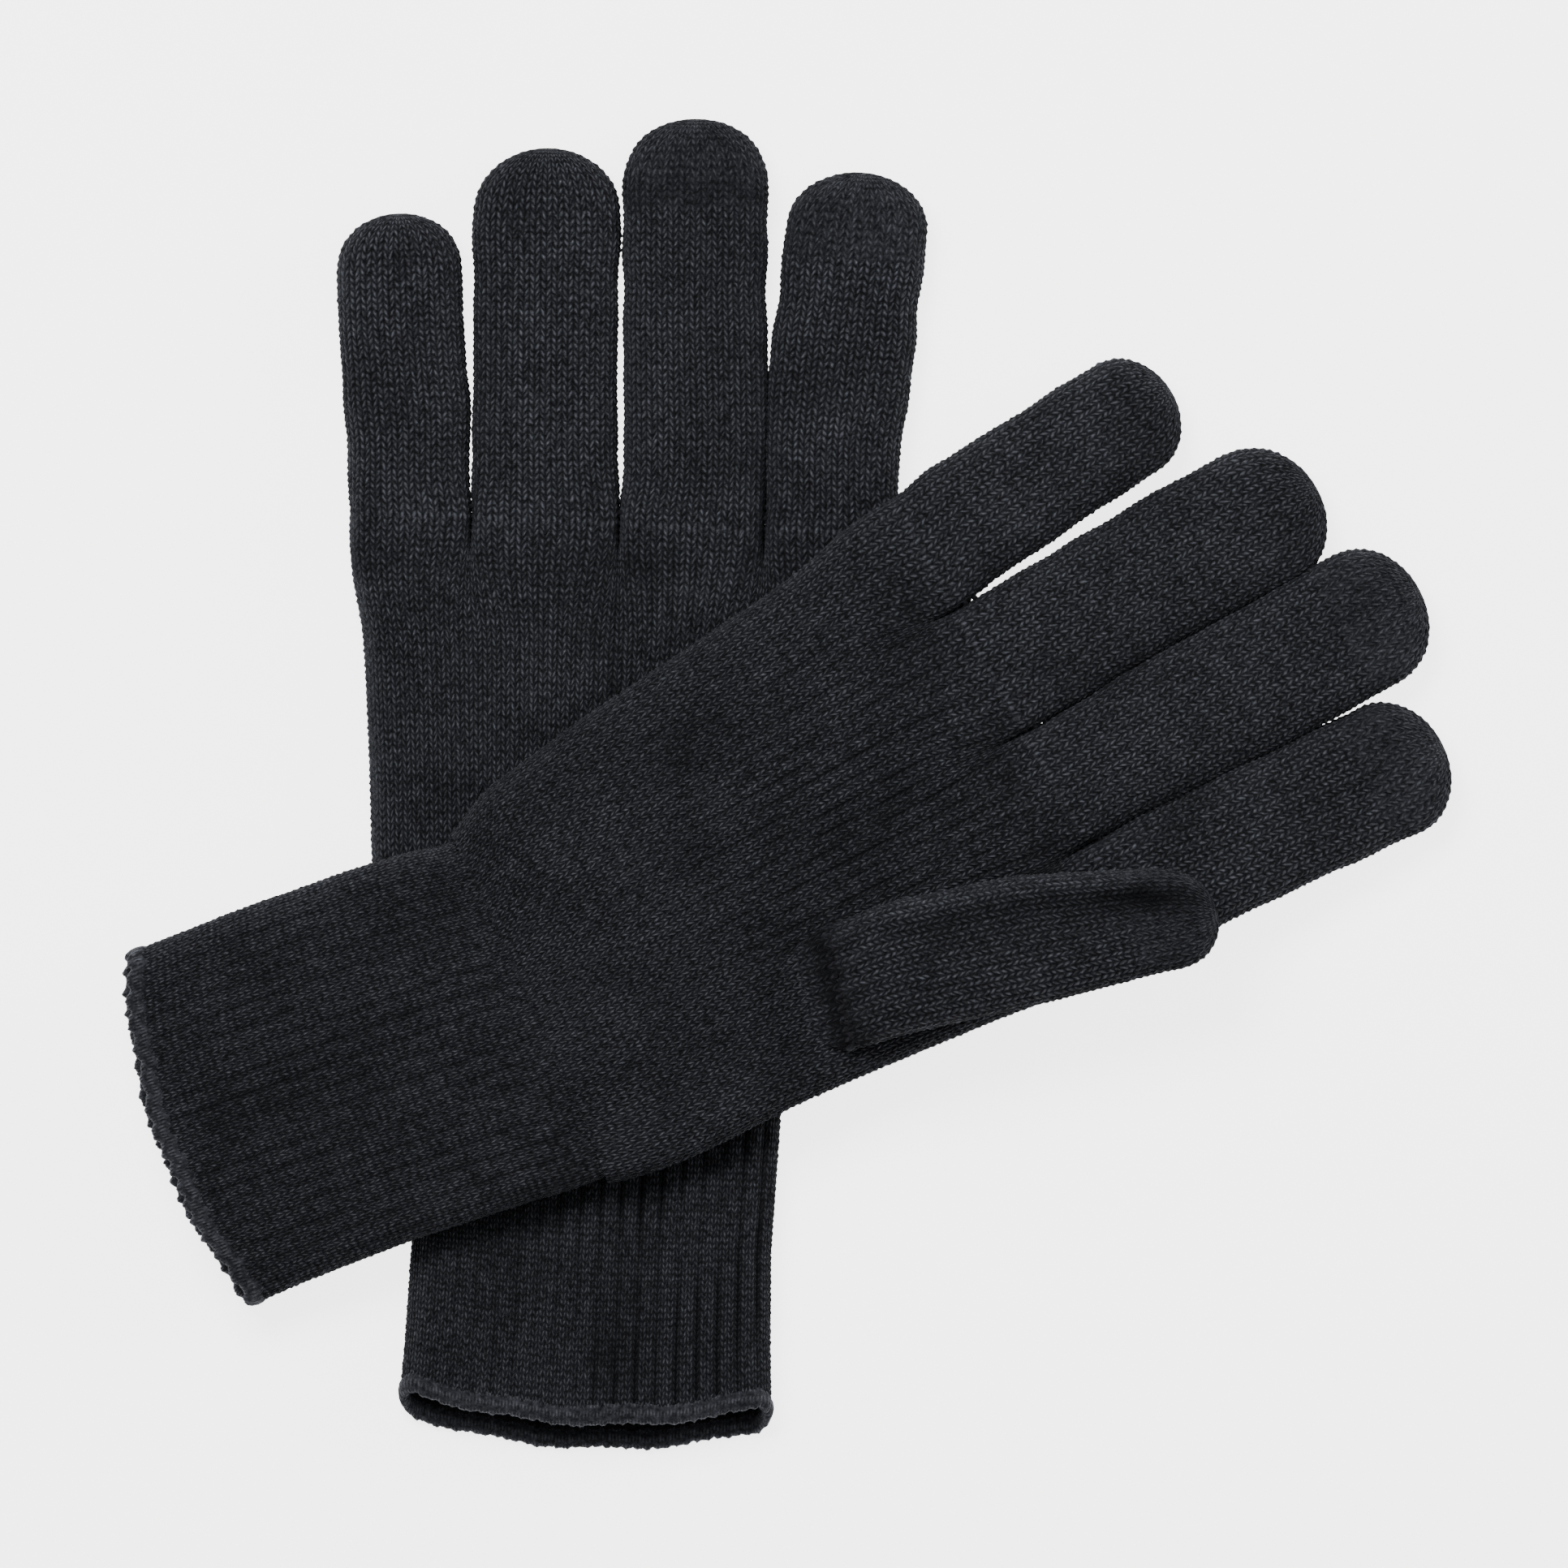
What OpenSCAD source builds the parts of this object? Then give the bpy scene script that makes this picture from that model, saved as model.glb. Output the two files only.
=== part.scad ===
// A pair of knitted gloves with conductive fingertips.
// The left glove lies flat, back up. The right glove lies palm up across it, its thumb folded over the palm.
// Each glove is built in its own frame: x across the hand towards the thumb, y from the wrist towards the
// fingertips, z up from its underside. The pair is then laid on the table plane, z = 0.

/* [Glove size] */
// Lengths of the little, ring, middle and index fingers from the crotch line
finger_len = [53.5, 66, 72.5, 64]; // [50:0.5:76]
// Widths of the little, ring, middle and index fingers, lying flat
finger_w = [21.4, 25.2, 25.6, 24.2]; // [20:0.2:26]
// Length of the thumb from its fold to its tip
thumb_len = 64; // [58:1:66]
// Width of the thumb, lying flat
thumb_w = 22.6; // [22:0.2:24]
// Lengths of the left and the right hand from the wrist to the crotch line
hand_len = [98, 102.5]; // [96:0.5:104]
// Length of the ribbed cuff with its hem
cuff_len = 67; // [60:1:70]
// Width of the glove at the wrist, lying flat
wrist_w = 66; // [64:1:68]
// Width of the glove at the heel of the hand
heel_w = 76; // [74:1:78]
// Width of the glove below the thumb's crotch
palm_w = 83; // [82:1:85]
// Widths of the left and the right glove over the finger roots
knuckle_w = [100, 99.2]; // [96:1:102]

/* [Knit] */
// Thickness of the glove lying flat: both layers and the air between them
glove_t = 8.6; // [8.6:0.1:9]
// Thickness of the thumb lying flat
thumb_t = 6.8; // [6.6:0.1:6.8]
// Thickness of one layer of knit
knit_t = 1.2; // [1:0.1:1.2]
// Length of the conductive caps on the thumb, index and middle finger
touch_len = 16; // [12:1:20]
// Length of the overlocked hem at the cuff's mouth
hem_len = 4; // [3:0.5:5]
// How far the hem stands proud of the rib
hem_rise = 0.4; // [0.3:0.1:0.5]
// Number of elastic yarns laid into the cuff
elastic_count = 3; // [2:1:3]

/* [Left glove's lay] */
// Place of the left wrist's centre
left_wrist = [-33.2, -50.7]; // [-60:0.1:60]
// Turn of the left hand from +Y, anticlockwise
left_turn = -2.4; // [-4:0.1:0]
// Places of the little, ring, middle and index roots across the left hand
left_roots = [-38.8, -13.9, 12.9, 37.6]; // [-42:0.1:42]
// Fan of the left fingers from the hand's line, anticlockwise
left_fan = [4.9, 2.4, 2.4, -2.2]; // [-6:0.1:6]
// Turn of the left thumb from the hand's line, anticlockwise
left_thumb_turn = -12.6; // [-14:0.1:-12]

/* [Right glove's lay] */
// Place of the right wrist's centre
right_wrist = [-45.7, -40.5]; // [-60:0.1:60]
// Turn of the right hand from +Y, anticlockwise
right_turn = -60.5; // [-64:0.5:-58]
// Swing of the right cuff at the wrist, anticlockwise
right_swing = -10; // [-12:0.5:0]
// Places of the little, ring, middle and index roots across the right hand
right_roots = [-37.4, -13.7, 12, 37.2]; // [-42:0.1:42]
// Fan of the right fingers from the hand's line, anticlockwise
right_fan = [2.3, -0.5, -2.4, -4.2]; // [-6:0.1:6]
// Turn of the right thumb from the hand's line, anticlockwise
right_thumb_turn = -17.6; // [-20:0.1:-15]

/* [Hidden] */

charcoal = "#26272b";
rib_grey = "#2c2d32";
hem_grey = "#3a3c42";
touch_grey = "#1a1b1e";
stitch_black = "#101114";
elastic_white = "#b9b7b0";

left = 0;
right = 1;
little = 0;
ring = 1;
middle = 2;
index = 3;

gap = 0.3;                              // clearance between pieces that move on each other
swing_gap = 2.7;                        // room behind the right index, which swings sideways
slice = 0.2;                            // thickness of a cross-section
beyond = 1;                             // how far a cut runs past the face it opens
half_t = glove_t / 2;
cuff_t = glove_t - 2 * hem_rise;        // thickness of the flat rib
lift = glove_t + gap;                   // height of the right glove's underside
root_len = 8;                           // from the crotch line to a finger's fold
root_ease = 1.5;                        // how much narrower a finger is at its root
stub_ease = 0.6;                        // how much thinner the stubs and the gusset are than the hand
side_facets = 16;
tip_facets = 28;

// The hand's widths, at distances from the wrist
heel_y = 13;
palm_y = 47;
function hand_y(side) = [0, heel_y, palm_y, hand_len[side]];
function hand_w(side) = [wrist_w, heel_w, palm_w, knuckle_w[side]];

// What differs between the two gloves as they lie
roots = [left_roots, right_roots];
fan = [left_fan, right_fan];
cuff_swing = [0, right_swing];
cuff_drop = [0, 5];                     // how far the cuff's mouth hangs below the wrist

// The cuff narrows a little from the wrist to the knee and opens at the mouth
cuff_knee = 34;
cuff_waist = 2;
mouth_flare = 2.6;
elastic_w = 1.2;
elastic_t = 0.6;
elastic_pitch = 8;

// The left thumb lies beside the hand and swings flat about an upright line
left_thumb_root = [53, 23];
seam_t = 1;
scoop_r = thumb_w / 2 + gap + seam_t;
// The right thumb folds over the palm about a level line across its root
right_thumb_root = [26.6, 54.4];
ramp_len = 24;

// ---- cross-sections ----

// A flat oval w across and t high, standing across the y axis with its centre at height z
module oval(w, t, z) {
    translate([0, slice / 2, z])
        rotate([90, 0, 0])
            linear_extrude(slice)
                hull()
                    for (side = [-1, 1])
                        translate([side * (w - t) / 2, 0])
                            circle(d = t, $fn = side_facets);
}

// One oval of a glove's hand; the wrist's is turned halfway into the cuff's swing
module hand_oval(side, i, inset) {
    y = hand_y(side)[i];
    rotate([0, 0, i == 0 ? cuff_swing[side] / 2 : 0])
        translate([0, i == 0 && inset > 0 ? -beyond : y == hand_len[side] ? y - inset : y, 0])
            oval(hand_w(side)[i] - 2 * inset, glove_t - 2 * inset, half_t);
}

// The hand as a solid, set in all round by inset
module hand_form(side, inset) {
    for (i = [0 : len(hand_y(side)) - 2])
        hull() {
            hand_oval(side, i, inset);
            hand_oval(side, i + 1, inset);
        }
}

// Width and height of the cuff's middle at distance d from the wrist
function cuff_w(d) =
    wrist_w - cuff_waist * min(1, d / cuff_knee)
    + mouth_flare * max(0, d - cuff_knee) / (cuff_len - cuff_knee);
function cuff_z(side, d) =
    half_t - cuff_drop[side] * max(0, d - cuff_knee) / (cuff_len - cuff_knee);

// One oval of the cuff, set in by inset; at the wrist it meets the hand
module cuff_oval(side, d, inset) {
    rotate([0, 0, cuff_swing[side] / (d <= 0 ? 2 : 1)])
        translate([0, -d - slice, 0])
            oval(cuff_w(d) - 2 * inset, cuff_t - 2 * inset, cuff_z(side, d));
}

// A stretch of the cuff as a solid, between two distances from the wrist
module cuff_stretch(side, from, to, inset) {
    hull() {
        cuff_oval(side, from, inset);
        cuff_oval(side, to, inset);
    }
}

// A ring of the cuff below the knee
module cuff_ring(side, from, to, outside, inside) {
    difference() {
        cuff_stretch(side, from, to, outside);
        cuff_stretch(side, from - beyond, to + beyond, inside);
    }
}

// Where the elastic yarns lie, from the hem upwards
function elastic_d(i) = cuff_len - hem_len - elastic_pitch * (i + 0.5);

// A round disc with a round rim, lying flat
module rim_disc(r, t) {
    rotate_extrude($fn = tip_facets) {
        translate([r - t / 2, 0])
            intersection() {
                circle(d = t, $fn = side_facets);
                translate([0, -t]) square([t, 2 * t]);
            }
        translate([0, -t / 2]) square([r - t / 2, t]);
    }
}

// A flat finger as a solid, lying along +y from its fold at the origin, set in by inset.
// Its root is round about the fold; the solid of its inside runs out past the root.
module finger_form(length, w, t, inset) {
    r = t / 2 - inset;
    root_y = inset > 0 ? -t / 2 - beyond : 0;
    root_x = (w - root_ease) / 2 - t / 2;
    hull() {
        for (side = [-1, 1])
            translate([side * root_x, root_y, 0]) sphere(r, $fn = side_facets);
        translate([0, length - w / 2, 0]) rim_disc(w / 2 - inset, t - 2 * inset);
    }
}

// A finger's knitted tube, open at its root
module finger_tube(length, w, t) {
    difference() {
        finger_form(length, w, t, 0);
        finger_form(length, w, t, knit_t);
    }
}

// The stretch of a tube before the conductive cap, or the cap itself
module up_to_cap(length) {
    intersection() {
        children();
        translate([-thumb_w, -thumb_w, -thumb_w])
            cube([2 * thumb_w, thumb_w + length - touch_len, 2 * thumb_w]);
    }
}

module cap_only(length) {
    intersection() {
        children();
        translate([-thumb_w, length - touch_len, -thumb_w])
            cube([2 * thumb_w, 2 * touch_len, 2 * thumb_w]);
    }
}

// ---- places ----

// A whole glove, from its own frame to the table
module lay_left() {
    translate([left_wrist[0], left_wrist[1], 0]) rotate([0, 0, left_turn]) children();
}

module lay_right() {
    translate([right_wrist[0], right_wrist[1], lift]) rotate([0, 0, right_turn]) children();
}

// The place on the crotch line from which a finger leaves the hand
module at_root(side, finger) {
    translate([roots[side][finger], hand_len[side], half_t])
        rotate([0, 0, fan[side][finger]])
            children();
}

// The fold of a finger, past which the right glove's fingers droop until their tips lie on the table
module at_fold(side, finger) {
    reach = finger_len[finger] - root_len - half_t / 2;
    droop = side == right ? asin(lift / reach) : 0;
    at_root(side, finger) translate([0, root_len, 0]) rotate([-droop, 0, 0]) children();
}

// ---- pieces that both gloves have ----

// The short tube that stands on the hand in front of a finger, set in by inset
module root_stub(side, finger, inset) {
    room = side == right && finger == index ? swing_gap : gap;
    from = -2 * knit_t;
    to = root_len - half_t - room + (inset > 0 ? beyond : 0);
    hull()
        for (y = [from, to])
            translate([0, y, 0])
                oval(finger_w[finger] - root_ease - 2 * inset, glove_t - stub_ease - 2 * inset, 0);
}

// The hand with the stubs of the four fingers, set in by inset
module hand_with_stubs(side, inset) {
    hand_form(side, inset);
    for (finger = [little : index])
        at_root(side, finger) root_stub(side, finger, inset);
}

module cuff(side) {
    color(rib_grey)
        difference() {
            union() {
                cuff_stretch(side, 0, cuff_knee, 0);
                cuff_stretch(side, cuff_knee, cuff_len - hem_len - slice, 0);
            }
            cuff_stretch(side, -beyond, cuff_knee, knit_t);
            cuff_stretch(side, cuff_knee, cuff_len, knit_t);
            for (i = [0 : elastic_count - 1])
                cuff_stretch(side, elastic_d(i), elastic_d(i) + elastic_w, knit_t - elastic_t);
        }
}

module cuff_hem(side) {
    color(hem_grey)
        cuff_ring(side, cuff_len - hem_len, cuff_len - slice, -hem_rise, knit_t);
}

module cuff_elastic(side) {
    color(elastic_white)
        for (i = [0 : elastic_count - 1])
            cuff_ring(side, elastic_d(i), elastic_d(i) + elastic_w, knit_t - elastic_t, knit_t);
}

// Three darned stitches in each of the three crotches between the fingers
module finger_seam(side) {
    darn = [0.8, 1.6, 1.4];
    pitch = 1.9;
    color(stitch_black)
        for (finger = [little : middle], row = [-1 : 1]) {
            between = (roots[side][finger] + roots[side][finger + 1]) / 2
                + (finger_w[finger] - finger_w[finger + 1]) / 4;
            translate([between - darn[0] / 2, hand_len[side] + slice / 2, half_t + row * pitch - darn[2] / 2])
                cube(darn);
        }
}

module plain_finger(finger) {
    color(charcoal)
        finger_tube(finger_len[finger] - root_len, finger_w[finger], glove_t);
}

module touch_finger(finger) {
    length = finger_len[finger] - root_len;
    color(charcoal)
        up_to_cap(length) finger_tube(length, finger_w[finger], glove_t);
}

module touch_cap(finger) {
    length = finger_len[finger] - root_len;
    color(touch_grey)
        cap_only(length) finger_tube(length, finger_w[finger], glove_t);
}

// ---- the left thumb, which lies beside the hand ----

module at_left_thumb() {
    translate([left_thumb_root[0], left_thumb_root[1], 0])
        rotate([0, 0, left_thumb_turn])
            children();
}

// The gusset that carries the thumb's root, set in by inset
module left_gusset(inset) {
    heel = [28, 14];
    corner = [50, 11];
    corner_r = 10;
    palm_side = [30, 34];
    translate([0, 0, stub_ease / 2 + inset])
        linear_extrude(thumb_t - stub_ease - 2 * inset)
            hull() {
                translate(heel) circle(corner_r - inset, $fn = tip_facets);
                translate(corner) circle(corner_r - inset, $fn = tip_facets);
                translate(palm_side) circle(corner_r / 2 - inset, $fn = tip_facets);
            }
}

module left_thumb_tube() {
    difference() {
        hull()
            for (y = [0, thumb_len - thumb_w / 2])
                translate([0, y, thumb_t / 2]) rim_disc(thumb_w / 2, thumb_t);
        hull()
            for (y = [-thumb_w, thumb_len - thumb_w / 2])
                translate([0, y, thumb_t / 2]) rim_disc(thumb_w / 2 - knit_t, thumb_t - 2 * knit_t);
    }
}

// ---- the right thumb, which is folded over the palm ----

module at_right_thumb() {
    translate([right_thumb_root[0], right_thumb_root[1], glove_t + gap + thumb_t / 2])
        rotate([0, 0, right_thumb_turn])
            children();
}

// The raised root behind the fold, from the palm up to the thumb, set in by inset
module right_ramp(inset) {
    face_y = -thumb_t / 2 - gap - seam_t + (inset > 0 ? beyond : 0);
    w = thumb_w - root_ease - 2 * inset;
    hull() {
        translate([0, face_y, 0]) oval(w, thumb_t - 2 * inset, 0);
        translate([0, face_y, 0]) oval(w, thumb_t - 2 * inset, inset > 0 ? 0 : -2 * gap);
        translate([0, -ramp_len, 0]) oval(w, thumb_t - 2 * inset, -thumb_t - gap - stub_ease);
    }
}

// ---- the left glove ----

module left_hand() {
    color(charcoal)
        lay_left()
            difference() {
                union() {
                    hand_with_stubs(left, 0);
                    left_gusset(0);
                }
                hand_with_stubs(left, knit_t);
                left_gusset(knit_t);
                at_left_thumb()
                    translate([0, 0, -beyond]) cylinder(r = scoop_r, h = 2 * glove_t, $fn = 64);
            }
}

module left_cuff() { lay_left() cuff(left); }
module left_cuff_hem() { lay_left() cuff_hem(left); }
module left_cuff_elastic() { lay_left() cuff_elastic(left); }
module left_finger_seam() { lay_left() finger_seam(left); }

// A course of stitches lining the gusset's scoop, behind the thumb's root
module left_thumb_seam() {
    start = 222;
    sweep = 96;
    color(stitch_black)
        lay_left() at_left_thumb()
            rotate([0, 0, start])
                rotate_extrude(angle = sweep, $fn = 64)
                    translate([scoop_r - seam_t, 0]) square([seam_t, thumb_t]);
}

module on_left(finger) {
    lay_left() at_fold(left, finger) children();
}

module left_little_finger() { on_left(little) plain_finger(little); }
module left_ring_finger() { on_left(ring) plain_finger(ring); }
module left_middle_finger() { on_left(middle) touch_finger(middle); }
module left_middle_tip() { on_left(middle) touch_cap(middle); }
module left_index_finger() { on_left(index) touch_finger(index); }
module left_index_tip() { on_left(index) touch_cap(index); }

module left_thumb() {
    color(charcoal) lay_left() at_left_thumb() up_to_cap(thumb_len) left_thumb_tube();
}

module left_thumb_tip() {
    color(touch_grey) lay_left() at_left_thumb() cap_only(thumb_len) left_thumb_tube();
}

// ---- the right glove ----

module right_hand() {
    color(charcoal)
        lay_right()
            difference() {
                union() {
                    hand_with_stubs(right, 0);
                    at_right_thumb() right_ramp(0);
                }
                hand_with_stubs(right, knit_t);
                at_right_thumb() right_ramp(knit_t);
            }
}

module right_cuff() { lay_right() cuff(right); }
module right_cuff_hem() { lay_right() cuff_hem(right); }
module right_cuff_elastic() { lay_right() cuff_elastic(right); }
module right_finger_seam() { lay_right() finger_seam(right); }

// A course of stitches round the mouth of the raised root, behind the thumb's fold
module right_thumb_seam() {
    w = thumb_w - root_ease;
    color(stitch_black)
        lay_right() at_right_thumb()
            translate([0, -thumb_t / 2 - gap, 0])
                rotate([90, 0, 0])
                    linear_extrude(seam_t - slice)
                        difference() {
                            hull()
                                for (side = [-1, 1])
                                    translate([side * (w - thumb_t) / 2, 0]) circle(d = thumb_t, $fn = 32);
                            hull()
                                for (side = [-1, 1])
                                    translate([side * (w - thumb_t) / 2, 0])
                                        circle(d = thumb_t - 2 * knit_t, $fn = 32);
                        }
}

module on_right(finger) {
    lay_right() at_fold(right, finger) children();
}

module right_little_finger() { on_right(little) plain_finger(little); }
module right_ring_finger() { on_right(ring) plain_finger(ring); }
module right_middle_finger() { on_right(middle) touch_finger(middle); }
module right_middle_tip() { on_right(middle) touch_cap(middle); }
module right_index_finger() { on_right(index) touch_finger(index); }
module right_index_tip() { on_right(index) touch_cap(index); }

module right_thumb() {
    color(charcoal)
        lay_right() at_right_thumb() up_to_cap(thumb_len) finger_tube(thumb_len, thumb_w, thumb_t);
}

module right_thumb_tip() {
    color(touch_grey)
        lay_right() at_right_thumb() cap_only(thumb_len) finger_tube(thumb_len, thumb_w, thumb_t);
}

left_hand();
left_cuff();
left_cuff_hem();
left_cuff_elastic();
left_finger_seam();
left_thumb_seam();
left_little_finger();
left_ring_finger();
left_middle_finger();
left_middle_tip();
left_index_finger();
left_index_tip();
left_thumb();
left_thumb_tip();
right_hand();
right_cuff();
right_cuff_hem();
right_cuff_elastic();
right_finger_seam();
right_thumb_seam();
right_little_finger();
right_ring_finger();
right_middle_finger();
right_middle_tip();
right_index_finger();
right_index_tip();
right_thumb();
right_thumb_tip();
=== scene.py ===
import math

import bmesh
import bpy
import numpy as np
from mathutils import Matrix, Vector


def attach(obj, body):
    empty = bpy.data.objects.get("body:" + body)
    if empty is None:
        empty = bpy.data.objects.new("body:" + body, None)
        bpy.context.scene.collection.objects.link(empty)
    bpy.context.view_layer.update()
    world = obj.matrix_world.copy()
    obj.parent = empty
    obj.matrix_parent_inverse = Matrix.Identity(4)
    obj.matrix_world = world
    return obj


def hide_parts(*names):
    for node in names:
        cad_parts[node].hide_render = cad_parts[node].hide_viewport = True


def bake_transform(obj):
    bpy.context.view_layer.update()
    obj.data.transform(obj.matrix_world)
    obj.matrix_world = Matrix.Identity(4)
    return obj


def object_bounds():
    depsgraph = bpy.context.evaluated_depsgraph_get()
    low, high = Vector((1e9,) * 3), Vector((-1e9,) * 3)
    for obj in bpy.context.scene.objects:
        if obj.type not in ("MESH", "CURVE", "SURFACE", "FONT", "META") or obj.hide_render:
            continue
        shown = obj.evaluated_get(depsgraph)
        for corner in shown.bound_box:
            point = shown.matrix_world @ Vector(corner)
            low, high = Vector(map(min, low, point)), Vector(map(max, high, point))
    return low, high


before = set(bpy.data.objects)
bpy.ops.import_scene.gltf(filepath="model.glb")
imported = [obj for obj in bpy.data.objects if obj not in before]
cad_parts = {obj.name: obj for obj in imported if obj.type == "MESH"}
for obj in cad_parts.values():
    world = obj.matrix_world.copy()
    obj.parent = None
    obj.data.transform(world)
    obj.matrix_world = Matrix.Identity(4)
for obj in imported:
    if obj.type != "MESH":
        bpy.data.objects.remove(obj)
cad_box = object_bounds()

# ---- Table and studio ----
# A plain white table top under soft light from large panels, with the camera
# straight above the pair, looking down on the gloves as they lie.

scene = bpy.context.scene
centre_x = (cad_box[0][0] + cad_box[1][0]) / 2
centre_y = (cad_box[0][1] + cad_box[1][1]) / 2

TABLE_REACH = 4.0      # metres from the table's middle to its edge
TABLE_DROP = 0.0002    # the table top lies this far under the gloves' lowest point

table_bm = bmesh.new()
bmesh.ops.create_grid(table_bm, x_segments=8, y_segments=8, size=TABLE_REACH)
bmesh.ops.translate(table_bm, verts=table_bm.verts, vec=(centre_x, centre_y, -TABLE_DROP))
table_mesh = bpy.data.meshes.new("table_top")
table_bm.to_mesh(table_mesh)
table_bm.free()
table_top = bpy.data.objects.new("table_top", table_mesh)
scene.collection.objects.link(table_top)
table_paint = bpy.data.materials.new("white_table")
table_paint.use_nodes = True
table_shader = table_paint.node_tree.nodes["Principled BSDF"]
table_shader.inputs["Base Color"].default_value = (0.93, 0.93, 0.93, 1)
table_shader.inputs["Roughness"].default_value = 0.9
table_shader.inputs["Emission Color"].default_value = (1, 1, 1, 1)
table_shader.inputs["Emission Strength"].default_value = 3.4
table_mesh.materials.append(table_paint)

studio = bpy.data.worlds.new("studio")
scene.world = studio
studio.use_nodes = True
studio.node_tree.nodes["Background"].inputs["Color"].default_value = (1, 1, 1, 1)
studio.node_tree.nodes["Background"].inputs["Strength"].default_value = 0.50


def soft_panel(name, place, aim, width, height, power):
    """A large soft light at place, turned to face aim."""
    lamp = bpy.data.lights.new(name, "AREA")
    lamp.shape = "RECTANGLE"
    lamp.size = width
    lamp.size_y = height
    lamp.energy = power
    panel = bpy.data.objects.new(name, lamp)
    scene.collection.objects.link(panel)
    panel.location = place
    panel.rotation_euler = (Vector(aim) - Vector(place)).to_track_quat("-Z", "Y").to_euler()


soft_panel("overhead_panel", (-0.30, 0.50, 0.85), (0, 0, 0), width=0.6, height=0.4, power=12)
soft_panel("side_panel", (0.85, 0.35, 0.35), (0, 0, 0), width=0.6, height=0.3, power=5)

VIEW_WIDTH = 0.28308   # metres of the table that the camera sees from side to side
CAMERA_HEIGHT = 0.9

camera_data = bpy.data.cameras.new("camera_above")
camera_data.type = "ORTHO"
camera_data.ortho_scale = VIEW_WIDTH
camera = bpy.data.objects.new("camera_above", camera_data)
scene.collection.objects.link(camera)
camera.location = (0.0, 0.0, CAMERA_HEIGHT)
camera.rotation_euler = (0, 0, 0)
camera_data.clip_end = 10
scene.camera = camera

# ---- The yarn ----
# Both gloves are machine knitted from one matte charcoal yarn, slightly hairy,
# with a little unevenness from stitch to stitch. The stitches' legs are shaped in
# the mesh; this finish adds the plies, painted shade in the gaps between legs and loose fibres.


def group_with(name, inputs, outputs):
    """A shader node group with named sockets: [(name, type, default)] and [(name, type)]."""
    group = bpy.data.node_groups.new(name, "ShaderNodeTree")
    for socket, kind, value in inputs:
        made = group.interface.new_socket(name=socket, in_out="INPUT", socket_type=kind)
        if value is not None:
            made.default_value = value
    for socket, kind in outputs:
        group.interface.new_socket(name=socket, in_out="OUTPUT", socket_type=kind)
    return group, group.nodes.new("NodeGroupInput"), group.nodes.new("NodeGroupOutput")


def calc(tree, operation, first, second=None, third=None):
    """A Math node whose inputs are sockets or numbers; gives its output socket."""
    node = tree.nodes.new("ShaderNodeMath")
    node.operation = operation
    for i, value in enumerate((first, second, third)):
        if value is None:
            continue
        if isinstance(value, (int, float)):
            node.inputs[i].default_value = value
        else:
            tree.links.new(value, node.inputs[i])
    return node.outputs[0]


def speckle(tree, place, scale, detail, rough=0.6):
    """Soft noise from 0 to 1 at a place socket, scale in cycles per metre or per unit."""
    noise = tree.nodes.new("ShaderNodeTexNoise")
    noise.inputs["Scale"].default_value = scale
    noise.inputs["Detail"].default_value = detail
    noise.inputs["Roughness"].default_value = rough
    tree.links.new(place, noise.inputs["Vector"])
    return noise.outputs["Fac"]


# Stitch marks: UV is counted in wales across and courses along. Legs lie at the
# quarter points of each wale, one course apart; Gap is 1 between them, where the finish paints
# shade.
stitch_marks, marks_in, marks_out = group_with(
    "stitch_marks",
    [("Stitch", "NodeSocketVector", None), ("Place", "NodeSocketVector", None)],
    [("Height", "NodeSocketFloat"), ("Gap", "NodeSocketFloat"), ("Tone", "NodeSocketFloat")],
)
marks_split = stitch_marks.nodes.new("ShaderNodeSeparateXYZ")
stitch_marks.links.new(marks_in.outputs["Stitch"], marks_split.inputs[0])
wobble = speckle(stitch_marks, marks_in.outputs["Place"], 900, 2)
wobble = calc(stitch_marks, "MULTIPLY", calc(stitch_marks, "SUBTRACT", wobble, 0.5), 0.7)
side_wobble = calc(stitch_marks, "MULTIPLY", wobble, 0.35)
across = calc(stitch_marks, "ADD", marks_split.outputs["X"], side_wobble)
along = calc(stitch_marks, "ADD", marks_split.outputs["Y"], wobble)
side_wave = calc(stitch_marks, "COSINE", calc(stitch_marks, "MULTIPLY", across, 4 * math.pi))
side_ridge = calc(stitch_marks, "MULTIPLY_ADD", side_wave, -0.5, 0.5)
course_wave = calc(stitch_marks, "COSINE", calc(stitch_marks, "MULTIPLY", along, 2 * math.pi))
course_ridge = calc(stitch_marks, "MULTIPLY_ADD", course_wave, 0.5, 0.5)
leg = calc(stitch_marks, "MULTIPLY", calc(stitch_marks, "POWER", side_ridge, 0.8),
           calc(stitch_marks, "POWER", course_ridge, 0.9))
fibre = speckle(stitch_marks, marks_in.outputs["Place"], 4200, 3, 0.7)
stitch_marks.links.new(
    calc(stitch_marks, "ADD", leg, calc(stitch_marks, "MULTIPLY", fibre, 0.55)),
    marks_out.inputs["Height"],
)
stitch_marks.links.new(calc(stitch_marks, "SUBTRACT", 1.0, leg), marks_out.inputs["Gap"])
patch = speckle(stitch_marks, marks_in.outputs["Place"], 75, 4)
fleck = speckle(stitch_marks, marks_in.outputs["Place"], 1100, 2, 0.7)
stitch_marks.links.new(
    calc(stitch_marks, "ADD", calc(stitch_marks, "MULTIPLY_ADD", patch, 0.55, 0.03),
         calc(stitch_marks, "MULTIPLY_ADD", fleck, 2.2, -1.1)),
    marks_out.inputs["Tone"],
)


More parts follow.
